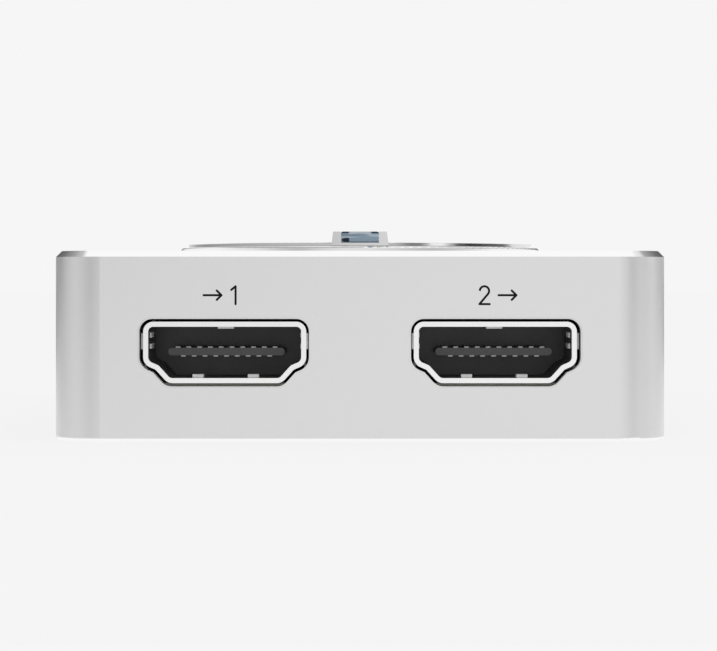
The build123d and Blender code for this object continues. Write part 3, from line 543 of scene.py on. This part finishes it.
FINISHES = {
    "case_aluminium": case_finish(),
    "base_aluminium": plain_finish(
        "brushed_plate", "brushed", 0.60, 0.68, 0.3, 0.42, 0.004 * MM, Metallic=1.0),
    "screw_steel": plain_finish(
        "zinc_plate", "turned", 0.42, 0.55, 0.25, 0.4, 0.003 * MM, {"Cloud": 900.0}, Metallic=1.0),
    "insulating_film": plain_finish(
        "black_film", "moulded", 0.02, 0.03, 0.3, 0.45, 0.004 * MM, {"Grain": 1500.0}),
    "board_laminate": board_finish(),
    "socket_steel": shell_finish(),
    "socket_plastic": plain_finish(
        "black_liner", "moulded", 0.052, 0.064, 0.3, 0.38, 0.001 * MM),
    "contact_plating": plain_finish(
        "plated_contact", "brushed", 0.34, 0.42, 0.3, 0.4, 0.001 * MM, {"Grain": 9000.0}, Metallic=1.0),
    "data_socket_steel": plain_finish(
        "drawn_stainless", "brushed", 0.50, 0.58, 0.2, 0.32, 0.002 * MM, Metallic=1.0),
    "jack_plastic": plain_finish(
        "black_nylon", "moulded", 0.02, 0.03, 0.4, 0.55, 0.004 * MM),
    "collar_nickel": plain_finish(
        "polished_nickel", "blasted", 0.74, 0.8, 0.08, 0.16, 0.0005 * MM, {"Grain": 4000.0}, Metallic=1.0),
    "tinned_metal": plain_finish(
        "dull_tin", "blasted", 0.55, 0.68, 0.3, 0.5, 0.005 * MM, {"Grain": 3000.0}, Metallic=1.0),
    "dial_aluminium": dial_finish(),
    "window_plastic": window_finish(),
    "ring_aluminium": plain_finish(
        "polished_ring", "turned", 0.81, 0.84, 0.15, 0.18, 0.0001 * MM, Metallic=1.0),
    "bearing_plastic": plain_finish(
        "natural_acetal", "turned", (0.68, 0.67, 0.62), (0.76, 0.75, 0.7), 0.35, 0.5, 0.004 * MM,
        Subsurface_Weight=0.1, Subsurface_Scale=0.001),
    "spring_steel": plain_finish(
        "spring_steel", "brushed", 0.24, 0.34, 0.25, 0.38, 0.002 * MM, Metallic=1.0),
    "potentiometer_plastic": plain_finish(
        "dark_phenolic", "moulded", (0.03, 0.045, 0.075), (0.045, 0.065, 0.1), 0.4, 0.55, 0.004 * MM),
    "potentiometer_wafer": plain_finish(
        "brown_laminate", "moulded", (0.2, 0.1, 0.045), (0.3, 0.17, 0.08), 0.45, 0.6, 0.006 * MM,
        {"Grain": 2500.0}),
    "potentiometer_shaft": plain_finish(
        "turned_shaft", "turned", 0.60, 0.70, 0.2, 0.34, 0.004 * MM, Metallic=1.0),
    "chip_epoxy": plain_finish(
        "black_epoxy", "moulded", 0.018, 0.032, 0.5, 0.65, 0.006 * MM, {"Grain": 5000.0}),
    "thermal_pad": plain_finish(
        "soft_pad", "moulded", (0.24, 0.29, 0.42), (0.3, 0.36, 0.5), 0.6, 0.8, 0.01 * MM, {"Grain": 3000.0}),
    "coil_ferrite": plain_finish(
        "pressed_ferrite", "blasted", 0.05, 0.1, 0.5, 0.7, 0.01 * MM, {"Grain": 5000.0}),
    "can_aluminium": plain_finish(
        "drawn_can", "brushed", 0.62, 0.72, 0.22, 0.34, 0.003 * MM, Metallic=1.0),
    "crystal_steel": plain_finish(
        "pressed_lid", "brushed", 0.6, 0.7, 0.2, 0.3, 0.002 * MM, Metallic=1.0),
    "ceramic": plain_finish(
        "fired_ceramic", "moulded", (0.34, 0.25, 0.15), (0.42, 0.32, 0.21), 0.35, 0.5, 0.006 * MM),
}


def dress_nodes():
    """Gives each CAD node the finish of its slot in the record."""
    for part in frame["record"]["subparts"]:
        piece = nodes[part["node"]]
        piece.data.materials.clear()
        piece.data.materials.append(FINISHES[part["material_slot"]])


# The room

def ramp(tree, value, stops):
    """Greys along a value from 0 to 1."""
    node = put(tree, "ShaderNodeValToRGB", {"Fac": value})
    elements = node.color_ramp.elements
    while len(elements) > 1:
        elements.remove(elements[-1])
    for index, (position, grey) in enumerate(stops):
        stop = elements[0] if index == 0 else elements.new(position)
        stop.position = position
        stop.color = tone(grey)
    return node.outputs["Color"]


def round_ramp(tree, turn, stops):
    """Greys by the turn about the upright axis."""
    return ramp(tree, turn, [(degrees / 360 + 0.5, grey) for degrees, grey in stops])


def sky():
    """A world that is plain to the camera and to matt surfaces, and a studio to polished ones."""
    world = bpy.data.worlds.new("studio")
    bpy.context.scene.world = world
    world.use_nodes = True
    tree = world.node_tree
    ray = put(tree, "ShaderNodeLightPath").outputs
    direction = put(tree, "ShaderNodeTexCoord").outputs["Generated"]
    turned = put(tree, "ShaderNodeMapping", {"Vector": direction, "Rotation": (0.0, 0.0, math.radians(90))})
    gradient = put(tree, "ShaderNodeTexGradient", {"Vector": turned.outputs[0]}, gradient_type="RADIAL")
    turn = gradient.outputs["Fac"]
    rise = axes(tree, direction)["Z"]
    aside = maths(tree, "ABSOLUTE", maths(tree, "SUBTRACT", turn, 0.5))

    level = maths(tree, "ABSOLUTE", maths(tree, "SUBTRACT", rise, CARDS_RISE))
    off_cards = span(tree, level, *CARDS_EDGE, 0.0, 1.0)
    studio = blend_colours(tree, off_cards, round_ramp(tree, turn, CARDS), round_ramp(tree, turn, ROOM))
    over_room = maths(tree, "SUBTRACT", rise, span_straight(tree, aside, *ROOM_TOP_SHARE, *ROOM_TOP))
    over_room = span(tree, over_room, -ROOM_TOP_EDGE, ROOM_TOP_EDGE, 0.0, 1.0)
    studio = blend_colours(tree, over_room, studio, round_ramp(tree, turn, MIDDLE))
    studio = blend_colours(tree, span(tree, rise, *HIGH_RISE, 0.0, 1.0), studio, round_ramp(tree, turn, HIGH))

    slope = maths(tree, "ADD", rise, maths(tree, "MULTIPLY", aside, BAND_SLOPE))
    off_line = maths(tree, "SUBTRACT", slope, span_straight(tree, aside, *BAND_LINE_SHARE, *BAND_LINE))
    sloping = both(
        tree,
        band(tree, off_line, -BAND_HALF, BAND_HALF, BAND_EDGE),
        span(tree, rise, *BAND_RISE, 0.0, 1.0),
        span(tree, aside, *BAND_SHARE, 0.0, 1.0),
    )
    overhead = span(tree, rise, *OVERHEAD_RISE, 0.0, 1.0)
    corner = maths(tree, "MAXIMUM", sloping, overhead)
    studio = blend_colours(tree, corner, studio, ramp(tree, rise, CORNER))

    lit = blend_colours(tree, ray["Is Diffuse Ray"], studio, MATT_LIGHT)
    seen = maths(tree, "MAXIMUM", ray["Is Camera Ray"], ray["Is Transmission Ray"])
    colour = blend_colours(tree, seen, lit, PALE)
    tree.links.new(colour, tree.nodes["Background"].inputs["Color"])


def floor():
    """The pale floor: the same tone as the room, with the box's soft shadow."""
    bpy.ops.mesh.primitive_plane_add(size=FLOOR_SIZE, location=(0, 0, 0))
    piece = bpy.context.object
    piece.name = "floor"
    made, tree, shader, place = new_finish("pale_floor", Roughness=0.9, Specular_IOR_Level=0.0)
    shade = noise(tree, place, 30.0)
    tree.links.new(blend_colours(tree, shade, 0.83, 0.85), shader.inputs["Base Color"])
    ray = put(tree, "ShaderNodeLightPath").outputs
    seen = maths(tree, "MAXIMUM", ray["Is Camera Ray"], ray["Is Glossy Ray"])
    seen = maths(tree, "MAXIMUM", seen, ray["Is Transmission Ray"])
    mirrored = span(tree, axes(tree, place)["Y"], *FLOOR_FADE, FLOOR_GLOSS, FLOOR_GLOSS_BEHIND)
    strength = mix_numbers(tree, ray["Is Glossy Ray"], PALE, mirrored)
    glow = put(tree, "ShaderNodeEmission", {"Color": tone(1.0), "Strength": strength})
    share = maths(tree, "MULTIPLY", seen, FLOOR_GLOW)
    mix = put(tree, "ShaderNodeMixShader", {0: share, 1: shader.outputs[0], 2: glow.outputs[0]})
    tree.links.new(mix.outputs[0], tree.nodes["Material Output"].inputs["Surface"])
    piece.data.materials.append(made)


def soft_sun():
    """A wide soft sun from above, in front and to the right."""
    turned = (math.radians(SUN_TILT), 0, math.radians(SUN_TURN))
    bpy.ops.object.light_add(type="SUN", location=(0, -0.3, 0.6), rotation=turned)
    lamp = bpy.context.object
    lamp.name = "soft_sun"
    lamp.data.angle = math.radians(SUN_WIDTH)
    lamp.data.energy = SUN_POWER


def camera():
    """The camera, level, at the height and distance that the photograph's perspective gives."""
    bpy.ops.object.camera_add(location=(0, CAMERA_Y, CAMERA_Z), rotation=(math.radians(90), 0, 0))
    piece = bpy.context.object
    piece.data.lens = LENS
    piece.data.sensor_width = 36
    piece.data.shift_x = SHIFT_X
    piece.data.shift_y = SHIFT_Y
    bpy.context.scene.camera = piece


bpy.ops.object.select_all(action="DESELECT")
dress_nodes()
sky()
floor()
soft_sun()
camera()
bpy.context.scene.view_settings.view_transform = "Standard"
